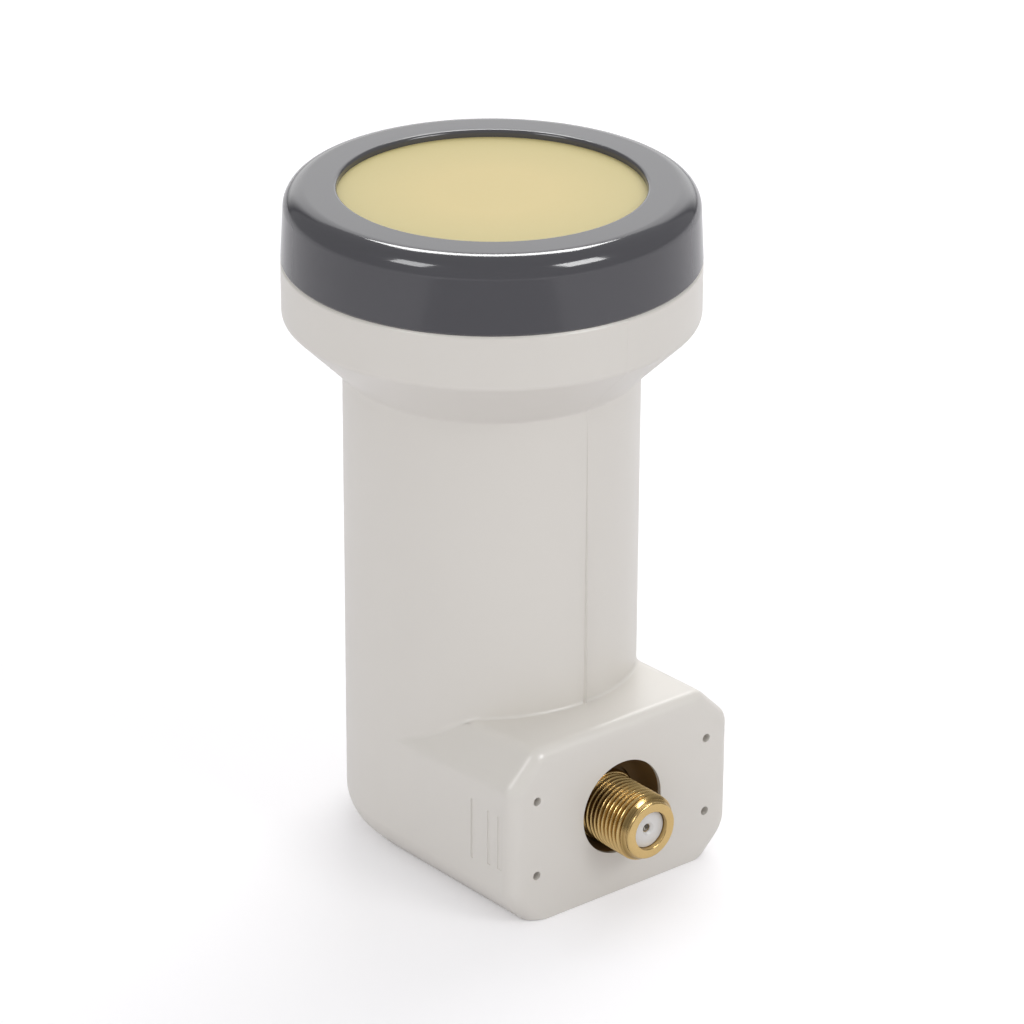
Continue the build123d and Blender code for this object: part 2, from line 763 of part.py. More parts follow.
# Bottom screws: three, sunk in the cover and tapped into the chassis
with BuildPart() as bottom_screws:
    with BuildSketch(Plane.XY.offset(cover_screw_seat)):
        with Locations(*cover_screw_points):
            Circle(screw_radius)
    extrude(amount=cover_screw_length)
    with BuildSketch(Plane.XY.offset(cover_screw_seat)):
        with Locations(*cover_screw_points):
            Circle(screw_head_radius)
    extrude(amount=-screw_head_height)

pieces = {
    "housing": housing,
    "waveguide_chassis": waveguide_chassis,
    "feed_horn": feed_horn,
    "horn_screws": horn_screws,
    "window_seal": window_seal,
    "feed_window": feed_window,
    "cap_ring": cap_ring,
    "circuit_board": circuit_board,
    "shield_cover": shield_cover,
    "shield_screws": shield_screws,
    "absorber_pad": absorber_pad,
    "converter_chip": converter_chip,
    "crystal": crystal,
    "regulator": regulator,
    "supply_choke": supply_choke,
    "amplifier_transistors": amplifier_transistors,
    "chip_capacitors": chip_capacitors,
    "connector_body": connector_body,
    "connector_seal": connector_seal,
    "connector_insulator": connector_insulator,
    "connector_contact": connector_contact,
    "connector_bush": connector_bush,
    "bottom_cover": bottom_cover,
    "bottom_seal": bottom_seal,
    "bottom_screws": bottom_screws,
}
for name, piece in pieces.items():
    piece.part.label = name
    export_step(piece.part, f"parts/{name}.step")
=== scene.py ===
from math import atan, cos, pi, radians, sin, sqrt, tan

import bmesh
import bpy
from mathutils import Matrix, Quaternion, Vector


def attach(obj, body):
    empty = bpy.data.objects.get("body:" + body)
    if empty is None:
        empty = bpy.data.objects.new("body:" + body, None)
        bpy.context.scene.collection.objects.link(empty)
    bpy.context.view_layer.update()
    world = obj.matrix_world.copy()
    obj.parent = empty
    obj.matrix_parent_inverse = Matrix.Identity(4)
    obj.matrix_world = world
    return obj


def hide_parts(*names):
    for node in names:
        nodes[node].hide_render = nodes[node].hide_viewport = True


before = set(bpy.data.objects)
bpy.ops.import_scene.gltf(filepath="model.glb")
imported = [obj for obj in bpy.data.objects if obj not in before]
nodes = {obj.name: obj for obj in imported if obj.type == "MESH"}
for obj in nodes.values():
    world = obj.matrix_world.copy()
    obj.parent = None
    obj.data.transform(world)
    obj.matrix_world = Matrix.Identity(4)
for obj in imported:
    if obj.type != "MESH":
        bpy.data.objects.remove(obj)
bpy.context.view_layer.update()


# Cast parts: the waveguide chassis in the foot and neck, the horn bolted on it and the shield over the board.
# They are die cast in aluminium and left as cast, with a fine sandy skin.
# The chassis bears on the plate inside the housing, and the horn on the chassis's flange.
MM = 0.001
GRAIN_HEIGHT = 0.05 * MM
MOTTLE_DETAIL = 4


def mottle_group():
    """Cloudy variation and fine grain that every finish here uses, each finish at its own scale."""
    group = bpy.data.node_groups.new("mottle_and_grain", "ShaderNodeTree")
    sockets = group.interface
    for label in ("Cloud", "Grain"):
        sockets.new_socket(f"{label} Scale", in_out="INPUT", socket_type="NodeSocketFloat")
        sockets.new_socket(label, in_out="OUTPUT", socket_type="NodeSocketFloat")
    entry = group.nodes.new("NodeGroupInput")
    leave = group.nodes.new("NodeGroupOutput")
    place = group.nodes.new("ShaderNodeTexCoord")
    for label in ("Cloud", "Grain"):
        noise = group.nodes.new("ShaderNodeTexNoise")
        noise.inputs["Detail"].default_value = MOTTLE_DETAIL
        group.links.new(place.outputs["Object"], noise.inputs["Vector"])
        group.links.new(entry.outputs[f"{label} Scale"], noise.inputs["Scale"])
        group.links.new(noise.outputs["Fac"], leave.inputs[label])
    return group


mottle = mottle_group()


def finish_material(name, dark, light, rough, clouds, grains, bump, metal=0.0):
    """A finish between two close colours, with its own roughness range and a fine bump from the grain."""
    material = bpy.data.materials.new(name)
    material.use_nodes = True
    tree = material.node_tree
    shader = tree.nodes["Principled BSDF"]
    shader.inputs["Metallic"].default_value = metal
    pattern = tree.nodes.new("ShaderNodeGroup")
    pattern.node_tree = mottle
    pattern.inputs["Cloud Scale"].default_value = clouds
    pattern.inputs["Grain Scale"].default_value = grains
    blend = tree.nodes.new("ShaderNodeMix")
    blend.name = "blend"
    blend.data_type = "RGBA"
    blend.inputs["A"].default_value = (*dark, 1)
    blend.inputs["B"].default_value = (*light, 1)
    tree.links.new(pattern.outputs["Cloud"], blend.inputs["Factor"])
    tree.links.new(blend.outputs["Result"], shader.inputs["Base Color"])
    spread = tree.nodes.new("ShaderNodeMapRange")
    spread.inputs["To Min"].default_value = rough[0]
    spread.inputs["To Max"].default_value = rough[1]
    tree.links.new(pattern.outputs["Grain"], spread.inputs["Value"])
    tree.links.new(spread.outputs["Result"], shader.inputs["Roughness"])
    relief = tree.nodes.new("ShaderNodeBump")
    relief.inputs["Strength"].default_value = bump
    relief.inputs["Distance"].default_value = GRAIN_HEIGHT
    tree.links.new(pattern.outputs["Grain"], relief.inputs["Height"])
    tree.links.new(relief.outputs["Normal"], shader.inputs["Normal"])
    return material


def coat_node(node, material):
    """Gives a CAD node its finish."""
    nodes[node].data.materials.clear()
    nodes[node].data.materials.append(material)


cast_aluminium = finish_material(
    "cast_aluminium", (0.40, 0.40, 0.41), (0.52, 0.52, 0.53), (0.42, 0.62), 120, 1600, 0.5, metal=1.0
)
for node in ("waveguide_chassis", "feed_horn", "shield_cover"):
    coat_node(node, cast_aluminium)

# Circuit board and what is soldered under it, with the absorber pad glued in the shield's pocket.
# The board is glass laminate under green resist; the packages are black moulded resin, fired ceramic,
# pressed ferrite and a plated lid on the crystal.
board_resist = finish_material(
    "board_resist", (0.015, 0.09, 0.04), (0.03, 0.14, 0.06), (0.3, 0.45), 300, 2500, 0.3
)
chip_resin = finish_material(
    "chip_resin", (0.012, 0.012, 0.013), (0.025, 0.025, 0.027), (0.5, 0.7), 400, 3000, 0.4
)
crystal_lid = finish_material(
    "crystal_lid", (0.55, 0.53, 0.48), (0.65, 0.63, 0.57), (0.25, 0.4), 300, 3000, 0.2, metal=1.0
)
ferrite = finish_material("ferrite", (0.03, 0.03, 0.03), (0.06, 0.06, 0.06), (0.6, 0.8), 500, 3000, 0.5)
fired_ceramic = finish_material(
    "fired_ceramic", (0.30, 0.20, 0.11), (0.42, 0.30, 0.18), (0.45, 0.6), 600, 3000, 0.3
)
absorber_sheet = finish_material(
    "absorber_sheet", (0.03, 0.03, 0.033), (0.06, 0.06, 0.065), (0.8, 0.95), 300, 1500, 0.8
)
coat_node("circuit_board", board_resist)
for node in ("converter_chip", "regulator", "amplifier_transistors"):
    coat_node(node, chip_resin)
coat_node("crystal", crystal_lid)
coat_node("supply_choke", ferrite)
coat_node("chip_capacitors", fired_ceramic)
coat_node("absorber_pad", absorber_sheet)

# Screws and seals inside the case: zinc plated steel screws, black rubber ring and cord.
# The seals sit in their grooves between the horn and the window and round the bottom cover.
zinc_plate = finish_material(
    "zinc_plate", (0.45, 0.45, 0.46), (0.58, 0.58, 0.58), (0.25, 0.4), 400, 3000, 0.2, metal=1.0
)
seal_rubber = finish_material(
    "seal_rubber", (0.012, 0.012, 0.012), (0.025, 0.025, 0.025), (0.7, 0.9), 200, 2000, 0.5
)
for node in ("horn_screws", "shield_screws"):
    coat_node(node, zinc_plate)
for node in ("window_seal", "bottom_seal"):
    coat_node(node, seal_rubber)


# Housing: one injection moulding in light grey plastic, with rim, flare, round neck and cut-cornered foot.
# It is spun and boxed up, joined, hollowed out and drilled, and its corners are rounded as in the mould.
# Sizes from here to the bottom screws are in millimetres, from the foot's underside and the neck's axis.
NEAR = 0.001
NECK_STEPS = 200
NECK_RADIUS = 20
WALL = 2
RIM_RADIUS = 28
RIM_BORE = 25.6
RIM_TOP = 83.2
RIM_CUT = 0.3
FLARE_START = 67.8
FLARE_END = FLARE_START + RIM_RADIUS - NECK_RADIUS
INNER_FLARE = FLARE_START - NECK_RADIUS + WALL * sqrt(2)
FOOT_HEIGHT = 25.4
FOOT_CUT = 3.5
LOWER_EDGE = 4.5
HALF_BEND = tan(radians(22.5))


def start_edit(piece):
    """Opens one piece in edit mode with nothing selected."""
    bpy.ops.object.select_all(action="DESELECT")
    bpy.context.view_layer.objects.active = piece
    piece.select_set(True)
    bpy.ops.object.mode_set(mode="EDIT")
    bpy.ops.mesh.select_all(action="DESELECT")


def end_edit():
    """Closes the open piece with its faces turned outward."""
    bpy.ops.mesh.select_all(action="SELECT")
    bpy.ops.mesh.normals_make_consistent(inside=False)
    bpy.ops.object.mode_set(mode="OBJECT")


def select_edges(piece, wanted):
    """Selects the edges of the open piece whose middle point, in millimetres, and own data the test wants."""
    bpy.ops.mesh.select_mode(type="EDGE")
    bpy.ops.mesh.select_all(action="DESELECT")
    shape = bmesh.from_edit_mesh(piece.data)
    for edge in shape.edges:
        if len(edge.link_faces) == 2:
            middle = (edge.verts[0].co + edge.verts[1].co) / (2 * MM)
            if wanted(middle, edge):
                edge.select_set(True)
    bmesh.update_edit_mesh(piece.data)


def drawn(name, outline):
    """Draws a line through points in metres, and leaves it open in edit mode with all of it selected."""
    bpy.ops.object.select_all(action="DESELECT")
    bpy.ops.mesh.primitive_plane_add(size=MM)
    piece = bpy.context.object
    piece.name = name
    bpy.ops.object.mode_set(mode="EDIT")
    bpy.ops.mesh.select_mode(type="VERT")
    bpy.ops.mesh.merge(type="CENTER")
    bpy.ops.transform.translate(value=outline[0])
    for here, there in zip(outline, outline[1:]):
        step = [b - a for a, b in zip(here, there)]
        bpy.ops.mesh.extrude_vertices_move(TRANSFORM_OT_translate={"value": step})
    bpy.ops.mesh.select_all(action="SELECT")
    return piece


def spun(name, outline, steps, axis=(0, 0, 1), centre=(0, 0, 0)):
    """Spins an outline, with points in metres, a full turn."""
    piece = drawn(name, outline)
    bpy.ops.mesh.spin(steps=steps, angle=2 * pi, center=centre, axis=axis)
    bpy.ops.mesh.select_all(action="SELECT")
    bpy.ops.mesh.remove_doubles(threshold=1e-7)
    end_edit()
    return piece


def section(*points):
    """Outline to spin round Z, from radii and heights."""
    return [(radius * MM, 0, height * MM) for radius, height in points]


def rounded(piece, wanted, size, segments):
    """Rounds the chosen edges of a piece."""
    start_edit(piece)
    select_edges(piece, wanted)
    bpy.ops.mesh.bevel(offset=size * MM, segments=segments, affect="EDGES", clamp_overlap=False)
    end_edit()


def on_ring(radius, height):
    """Test for the edges of one ring of a piece spun round Z."""
    return lambda middle, edge: all(
        abs(end.co.z / MM - height) < NEAR and abs(end.co.xy.length / MM - radius) < NEAR
        for end in edge.verts
    )


housing = spun(
    "housing_shell",
    section(
        (0, 0),
        (NECK_RADIUS - FOOT_CUT, 0),
        (NECK_RADIUS, FOOT_CUT),
        (NECK_RADIUS, FLARE_START),
        (RIM_RADIUS, FLARE_END),
        (RIM_RADIUS, RIM_TOP - RIM_CUT),
        (RIM_RADIUS - RIM_CUT, RIM_TOP),
        (RIM_BORE, RIM_TOP),
        (RIM_BORE, INNER_FLARE + RIM_BORE),
        (NECK_RADIUS - WALL, INNER_FLARE + NECK_RADIUS - WALL),
        (NECK_RADIUS - WALL, FOOT_HEIGHT),
        (0, FOOT_HEIGHT),
    ),
    NECK_STEPS,
)
for radius, height, size, segments in (
    (RIM_RADIUS, RIM_TOP - RIM_CUT, 0.16, 3),
    (RIM_RADIUS, FLARE_END, 0.41, 5),
    (NECK_RADIUS, FLARE_START, 0.3, 4),
    (NECK_RADIUS - FOOT_CUT, 0, 0.4, 3),
    (NECK_RADIUS, FOOT_CUT, LOWER_EDGE * HALF_BEND, 8),
):
    rounded(housing, on_ring(radius, height), size, segments)

# The mould's parting line leaves a ridge where its halves met; at the back it ends below the rim
RIDGE_HALF = 0.11
RIDGE_HEIGHT = 0.05
RIDGE_START = 6
RIDGE_END = RIM_TOP - 0.25
FRONT_RIDGE = RIM_RADIUS + 0.5
BACK_RIDGE = RIM_RADIUS - 1
start_edit(housing)
for side in (1, -1):
    bpy.ops.mesh.select_all(action="SELECT")
    bpy.ops.mesh.bisect(plane_co=(side * RIDGE_HALF * MM, 0, 0), plane_no=(1, 0, 0))
bpy.ops.mesh.select_mode(type="VERT")
for side, reach in ((-1, FRONT_RIDGE), (1, BACK_RIDGE)):
    bpy.ops.mesh.select_all(action="DESELECT")
    shape = bmesh.from_edit_mesh(housing.data)
    for point in shape.verts:
        across, along, height = point.co / MM
        outside = NECK_RADIUS - NEAR < side * along < reach
        if abs(across) < NEAR and outside and RIDGE_START < height < RIDGE_END:
            point.select_set(True)
    bmesh.update_edit_mesh(housing.data)
    bpy.ops.transform.translate(value=(0, side * RIDGE_HEIGHT * MM, 0))
end_edit()

# The foot's front part is drafted, and its top slopes down from the face to the neck
UP = Vector((0, 0, 1))
FACE = 28.4
FACE_EDGE = 2
FOOT_DRAFT = radians(1.8)
FOOT_EDGE = 2.5
SHOULDER_CUT = 4.8
TOP_SLOPE = radians(3.2)
BEHIND_AXIS = 2
LONG_EDGE = 5
SOFT_EDGE = 0.4
FILLET = 0.5
FILLET_END = 19.6
SUPPORT_CUT = 20.75
SUPPORT_LEAN = (0.76, -0.65)
ABOVE_FOOT = 30


def foot_box(name, radius, front, low, high, low_cut=0, high_cut=0, slope=0):
    """Front part of the foot: a cube cut to the drafted sides and the neck's axis, with its long edges cut off.
    Its top falls from the front by the slope."""
    bpy.ops.object.select_all(action="DESELECT")
    bpy.ops.mesh.primitive_cube_add(size=1)
    piece = bpy.context.object
    piece.name = name
    bpy.ops.object.mode_set(mode="EDIT")
    bpy.ops.transform.resize(value=(3 * radius * MM, (front + BEHIND_AXIS) * MM, (high - low) * MM))
    bpy.ops.transform.translate(value=(0, (BEHIND_AXIS - front) / 2 * MM, (low + high) / 2 * MM))
    cuts = []
    for side in (1, -1):
        outward = Vector((side * cos(FOOT_DRAFT), -sin(FOOT_DRAFT), 0))
        backward = Vector((side * sin(FOOT_DRAFT), cos(FOOT_DRAFT), 0))
        cuts += [(outward * (radius * MM), outward), (Vector(), backward)]
    upward = Vector((0, sin(slope), cos(slope)))
    front_top = Vector((0, -front * MM, high * MM))
    if slope:
        cuts.append((front_top, upward))
    for point, normal in cuts:
        bpy.ops.mesh.select_all(action="SELECT")
        bpy.ops.mesh.bisect(plane_co=point, plane_no=normal, use_fill=True, clear_outer=True)
    for point, normal, cut in ((low * MM * UP, UP, low_cut), (front_top, upward, high_cut)):
        if cut:
            select_edges(
                piece,
                lambda middle, edge: abs((middle - point / MM).dot(normal)) < NEAR
                and abs(middle.x) > radius / 2
                and -0.9 * front < middle.y < -0.1 * front,
            )
            bpy.ops.mesh.bevel(offset=cut * MM, segments=1, affect="EDGES", clamp_overlap=False)
    end_edit()
    return piece


def along_foot(low, high):
    """Test for the foot's long edges between two heights."""
    return lambda middle, edge: (
        low < middle.z < high
        and -0.9 * FACE < middle.y < -0.1 * FACE
        and abs(edge.verts[0].co.y - edge.verts[1].co.y) > LONG_EDGE * MM
    )


def boolean(piece, tool, operation):
    """Joins or cuts a piece with another, which is used up."""
    change = piece.modifiers.new(operation.lower(), "BOOLEAN")
    change.operation = operation
    change.object = tool
    change.solver = "EXACT"
    bpy.ops.object.select_all(action="DESELECT")
    bpy.context.view_layer.objects.active = piece
    piece.select_set(True)
    bpy.ops.object.modifier_apply(modifier=change.name)
    bpy.data.objects.remove(tool)


foot = foot_box("foot", NECK_RADIUS, FACE, 0, FOOT_HEIGHT, FOOT_CUT, SHOULDER_CUT, TOP_SLOPE)
rounded(foot, along_foot(FOOT_CUT - 1, FOOT_CUT + 1), LOWER_EDGE * HALF_BEND, 8)
rounded(foot, along_foot(FOOT_HEIGHT / 2, FOOT_HEIGHT), FOOT_EDGE * HALF_BEND, 6)
rounded(foot, lambda middle, edge: abs(middle.y + FACE) < NEAR and middle.z > 0.01, FACE_EDGE, 8)
rounded(
    foot,
    lambda middle, edge: edge.calc_face_angle() > radians(13)
    and middle.y < -1.5
    and not (abs(middle.z) < 0.01 and abs(middle.y + FACE) < 0.1),
    SOFT_EDGE,
    4,
)
boolean(housing, foot, "UNION")
rounded(
    housing,
    lambda middle, edge: 18 < middle.z < 26
    and middle.y < -4
    and abs(middle.x) < FILLET_END
    and abs(middle.xy.length - NECK_RADIUS) < 0.15
    and edge.calc_face_angle_signed() < radians(-12),
    FILLET,
    5,
)

# A cut across the foot's top just outside the fillet keeps the long ridges' shading clean
start_edit(housing)
bpy.ops.mesh.select_mode(type="FACE")
for side in (1, -1):
    bpy.ops.mesh.select_all(action="DESELECT")
    shape = bmesh.from_edit_mesh(housing.data)
    for face in shape.faces:
        if max(point.co.z for point in face.verts) < ABOVE_FOOT * MM:
            face.select_set(True)
    bmesh.update_edit_mesh(housing.data)
    outward = Vector((side * SUPPORT_LEAN[0], SUPPORT_LEAN[1], 0))
    bpy.ops.mesh.bisect(plane_co=outward * SUPPORT_CUT * MM, plane_no=outward)
end_edit()

# Inside, the foot is hollow up to the plate that the chassis bears on, and a boss stands round the recess
OVERCUT = 0.2
OPENING_INSET = 5.3
OPENING_RADIUS = NECK_RADIUS - OPENING_INSET
INNER_RADIUS = NECK_RADIUS - WALL
INNER_CUT = OPENING_INSET - WALL
CEILING = FOOT_HEIGHT - WALL
COLLAR_HOLE = 13.2
RECESS_LEVEL = 12.7
RECESS_RADIUS = 6.75
RECESS_END = 23.4
BOSS_WALL = 1.6
SOCKET_LEVEL = 11.55
SOCKET_HOLE = 4.15


def rod(name, radius, start, end, steps):
    """Round cutter along Y or Z between two points."""
    bpy.ops.object.select_all(action="DESELECT")
    start, end = (Vector([value * MM for value in point]) for point in (start, end))
    along = end - start
    turn = (pi / 2, 0, 0) if abs(along.y) > abs(along.z) else (0, 0, 0)
    bpy.ops.mesh.primitive_cylinder_add(
        vertices=steps, radius=radius * MM, depth=along.length, location=(start + end) / 2, rotation=turn
    )
    tool = bpy.context.object
    tool.name = name
    bpy.ops.object.transform_apply(location=True, rotation=True, scale=True)
    return tool


hollow = spun(
    "hollow",
    section(
        (0, -OVERCUT),
        (OPENING_RADIUS, -OVERCUT),
        (OPENING_RADIUS, WALL),
        (INNER_RADIUS, WALL + INNER_CUT),
        (INNER_RADIUS, CEILING - INNER_CUT),
        (OPENING_RADIUS, CEILING),
        (0, CEILING),
    ),
    NECK_STEPS,
)
boolean(hollow, foot_box("pocket", INNER_RADIUS, FACE - WALL, WALL, CEILING, INNER_CUT, INNER_CUT), "UNION")
boolean(hollow, foot_box("opening", OPENING_RADIUS, FACE - WALL, -OVERCUT, FOOT_CUT), "UNION")
boss = rod("boss", RECESS_RADIUS + BOSS_WALL, (0, -22, RECESS_LEVEL), (0, -30, RECESS_LEVEL), 64)
boolean(hollow, boss, "DIFFERENCE")
boolean(housing, hollow, "DIFFERENCE")
for name, radius, start, end, steps in (
    ("collar_hole", COLLAR_HOLE, (0, 0, 20), (0, 0, 30), 96),
    ("recess", RECESS_RADIUS, (0, -RECESS_END, RECESS_LEVEL), (0, -40, RECESS_LEVEL), 96),
    ("socket_hole", SOCKET_HOLE, (0, -20, SOCKET_LEVEL), (0, -25, SOCKET_LEVEL), 64),
):
    boolean(housing, rod(name, radius, start, end, steps), "DIFFERENCE")

# Four dimples in the face, and three fine slots on each side: distance from the face, width, depth and height
DIMPLE_ACROSS = 14.73
DIMPLE_UP = 5.58
DIMPLE_PIN = ((26.7, 0), (26.7, 0.5), (26.85, 0.625), (30, 0.625), (30, 0))
GROOVES = ((2.4, 0.85, 0.11, 7.9), (4.55, 0.7, 0.13, 8.1), (8.07, 0.5, 0.22, 9.0))
GROOVE_LEVEL = 12.45


def lathed(name, level, outline, steps):
    """Spins an outline round an axis along Y at a level, from distances in front of the neck and radii."""
    points = [(0, -reach * MM, (level + radius) * MM) for reach, radius in outline]
    return spun(name, points, steps, axis=(0, 1, 0), centre=(0, 0, level * MM))


for across in (DIMPLE_ACROSS, -DIMPLE_ACROSS):
    for level in (RECESS_LEVEL - DIMPLE_UP, RECESS_LEVEL + DIMPLE_UP):
        drill = lathed("drill", level, DIMPLE_PIN, 32)
        start_edit(drill)
        bpy.ops.mesh.select_all(action="SELECT")
        bpy.ops.transform.translate(value=(across * MM, 0, 0))
        end_edit()
        boolean(housing, drill, "DIFFERENCE")
for side in (1, -1):
    for distance, width, depth, height in GROOVES:
        reach = FACE - distance
        half = (NECK_RADIUS - reach * sin(FOOT_DRAFT)) / cos(FOOT_DRAFT)
        bpy.ops.object.select_all(action="DESELECT")
        bpy.ops.mesh.primitive_cube_add(
            size=1,
            location=(side * half * MM, -reach * MM, GROOVE_LEVEL * MM),
            rotation=(0, 0, side * FOOT_DRAFT),
            scale=(2 * depth * MM, width * MM, height * MM),
        )
        groove = bpy.context.object
        bpy.ops.object.transform_apply(location=True, rotation=True, scale=True)
        rounded(groove, lambda middle, edge: True, min(0.45 * width, 0.9 * depth), 5)
        boolean(housing, groove, "DIFFERENCE")


def finished(piece, material, slot, *stands_for, angle=28):
    """Smooths a piece up to an angle in degrees, gives it its finish and fixes it in the frame."""
    bpy.ops.object.select_all(action="DESELECT")
    bpy.context.view_layer.objects.active = piece
    piece.select_set(True)
    bpy.ops.object.shade_smooth_by_angle(angle=radians(angle))
    even = piece.modifiers.new("even_normals", "WEIGHTED_NORMAL")
    even.keep_sharp = True
    bpy.ops.object.modifier_apply(modifier=even.name)
    piece.data.materials.clear()
    piece.data.materials.append(material)
    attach(piece, "root")
    if stands_for:
        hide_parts(*stands_for)


case_plastic = finish_material(
    "case_plastic", (0.724, 0.695, 0.650), (0.754, 0.725, 0.680), (0.30, 0.36), 40, 1500, 0.012
)
finished(housing, case_plastic, "case_grey", "housing")

# Connector seal: rubber cup in the bottom of the recess, pressed under the connector's shoulder.
# A dark brown lining is put in above it and coats the recess's wall nearly up to the face; its dark brown,
# shared with the cup, is painted shade of the deep recess.
CUP_RADIUS = 6.73
CUP_BORE = 6.25
CUP_FLOOR = 24.2
CUP_LIP = 25.25
SHADE_LINING_TOP = (
    (27.85, 6.74), (27.7, 6.66), (27.0, 6.5), (26.2, 6.25),
    (25.6, 5.95), (25.2, 5.6), (24.9, 5.2), (24.7, 4.6),
)
SHADE_LINING_BACK = ((24.22, 4.6), (24.22, 6.24), (25.26, 6.24), (25.26, 6.74))
SHOULDER_SPACE = 5.03


def on_turned_ring(level, radius, reach):
    """Test for the edges of one ring of a piece spun round an axis along Y."""
    return lambda middle, edge: all(
        abs(end.co.y / MM + reach) < NEAR
        and abs(Vector((end.co.x / MM, end.co.z / MM - level)).length - radius) < NEAR
        for end in edge.verts
    )


cup = lathed(
    "connector_cup",
    RECESS_LEVEL,
    (
        (RECESS_END, 0),
        (RECESS_END, CUP_RADIUS),
        (CUP_LIP, CUP_RADIUS),
        (CUP_LIP, CUP_BORE),
        (CUP_FLOOR, CUP_BORE),
        (CUP_FLOOR, 0),
    ),
    96,
)
rounded(cup, on_turned_ring(RECESS_LEVEL, CUP_BORE, CUP_LIP), 0.2, 4)
tail_hole = rod("tail_hole", SOCKET_HOLE, (0, -20, SOCKET_LEVEL), (0, -26, SOCKET_LEVEL), 64)
boolean(cup, tail_hole, "DIFFERENCE")
# Painted shade: the cup and the lining get a dark brown that stands in for the shade deep in the recess
cup_rubber_painted_shade = finish_material(
    "cup_rubber_painted_shade", (0.120, 0.066, 0.018), (0.140, 0.078, 0.022), (0.6, 0.75), 200, 2000, 0.2
)
finished(cup, cup_rubber_painted_shade, "seal_black", "connector_seal")
# Lining of the recess's wall, put in as painted shade of the deep recess
shade_lining = lathed(
    "recess_shade_lining", RECESS_LEVEL, (SHADE_LINING_BACK[-1], *SHADE_LINING_TOP, *SHADE_LINING_BACK), 96
)
shoulder_space = rod("shoulder_space", SHOULDER_SPACE, (0, -22, SOCKET_LEVEL), (0, -28, SOCKET_LEVEL), 80)
boolean(shade_lining, shoulder_space, "DIFFERENCE")
finished(shade_lining, cup_rubber_painted_shade, "seal_black")

# Connector body: turned brass socket, gold plated, threaded from its shoulder to a chamfer behind the lip.
# The root is spun, the thread is a coil trimmed by the chamfer, and the two are joined.
# Its tail is screwed into the chassis and its shoulder sits on the seal.
SOCKET_FRONT = 34.5
SOCKET_BORE = 2.7
BORE_END = 26.5
LIP_RADIUS = 4.05
NECKING_RADIUS = 3.88
SHOULDER_FRONT = 25.4
SHOULDER_RADIUS = 5
TAIL_END = 19
TAIL_RADIUS = 4
TAIL_BORE = 2
THREAD_RADIUS = 4.7625
ROOT_RADIUS = 4.28
PITCH = 25.4 / 32
THREAD_TURNS = 12
THREAD_OVERRUN = 0.4
THREAD_START = radians(181.3)
THREAD_PROFILE = (
    (-0.39, 3.8), (-0.37, 4.2), (-0.09, 4.72), (0, THREAD_RADIUS), (0.09, 4.72), (0.37, 4.2), (0.39, 3.8)
)
BLANK_RADIUS = THREAD_RADIUS + 0.001
connector = lathed(
    "connector_shell",
    SOCKET_LEVEL,
    (
        (SOCKET_FRONT, SOCKET_BORE),
        (SOCKET_FRONT, LIP_RADIUS),
        (34.2, LIP_RADIUS),
        (34.14, NECKING_RADIUS),
        (33.8, NECKING_RADIUS),
        (33.4, ROOT_RADIUS),
        (SHOULDER_FRONT, ROOT_RADIUS),
        (SHOULDER_FRONT, SHOULDER_RADIUS),
        (CUP_FLOOR, SHOULDER_RADIUS),
        (CUP_FLOOR, TAIL_RADIUS),
        (TAIL_END, TAIL_RADIUS),
        (TAIL_END, TAIL_BORE),
        (BORE_END, TAIL_BORE),
        (BORE_END, SOCKET_BORE),
        (SOCKET_FRONT, SOCKET_BORE),
    ),
    96,
)
for radius, reach, size, segments in (
    (LIP_RADIUS, SOCKET_FRONT, 0.22, 4),
    (SOCKET_BORE, SOCKET_FRONT, 0.12, 3),
    (SHOULDER_RADIUS, SHOULDER_FRONT, 0.2, 3),
):
    rounded(connector, on_turned_ring(SOCKET_LEVEL, radius, reach), size, segments)

thread = drawn("thread", [(0, along * MM, radius * MM) for along, radius in THREAD_PROFILE])
bpy.ops.mesh.edge_face_add()
bpy.ops.mesh.delete(type="ONLY_FACE")
bpy.ops.object.mode_set(mode="OBJECT")
thread_reach = SHOULDER_FRONT + (THREAD_TURNS - THREAD_OVERRUN) * PITCH
thread.location = (0, -thread_reach * MM, SOCKET_LEVEL * MM)
thread.rotation_euler = (0, THREAD_START, 0)
coil = thread.modifiers.new("coil", "SCREW")
coil.axis = "Y"
coil.angle = 2 * pi
coil.screw_offset = PITCH * MM
coil.iterations = THREAD_TURNS
coil.steps = 96
coil.render_steps = 96
bpy.ops.object.modifier_apply(modifier=coil.name)
bpy.ops.object.transform_apply(location=True, rotation=True, scale=True)
start_edit(thread)
bpy.ops.mesh.select_all(action="SELECT")
bpy.ops.mesh.remove_doubles(threshold=1e-7)
bpy.ops.mesh.select_all(action="SELECT")
bpy.ops.mesh.fill_holes(sides=8)
end_edit()
blank = lathed(
    "thread_blank",
    SOCKET_LEVEL,
    ((34.1, 0), (34.1, 4), (33.15, BLANK_RADIUS), (25.3, BLANK_RADIUS), (25.3, 0)),
    96,
)
boolean(thread, blank, "INTERSECT")
boolean(connector, thread, "UNION")

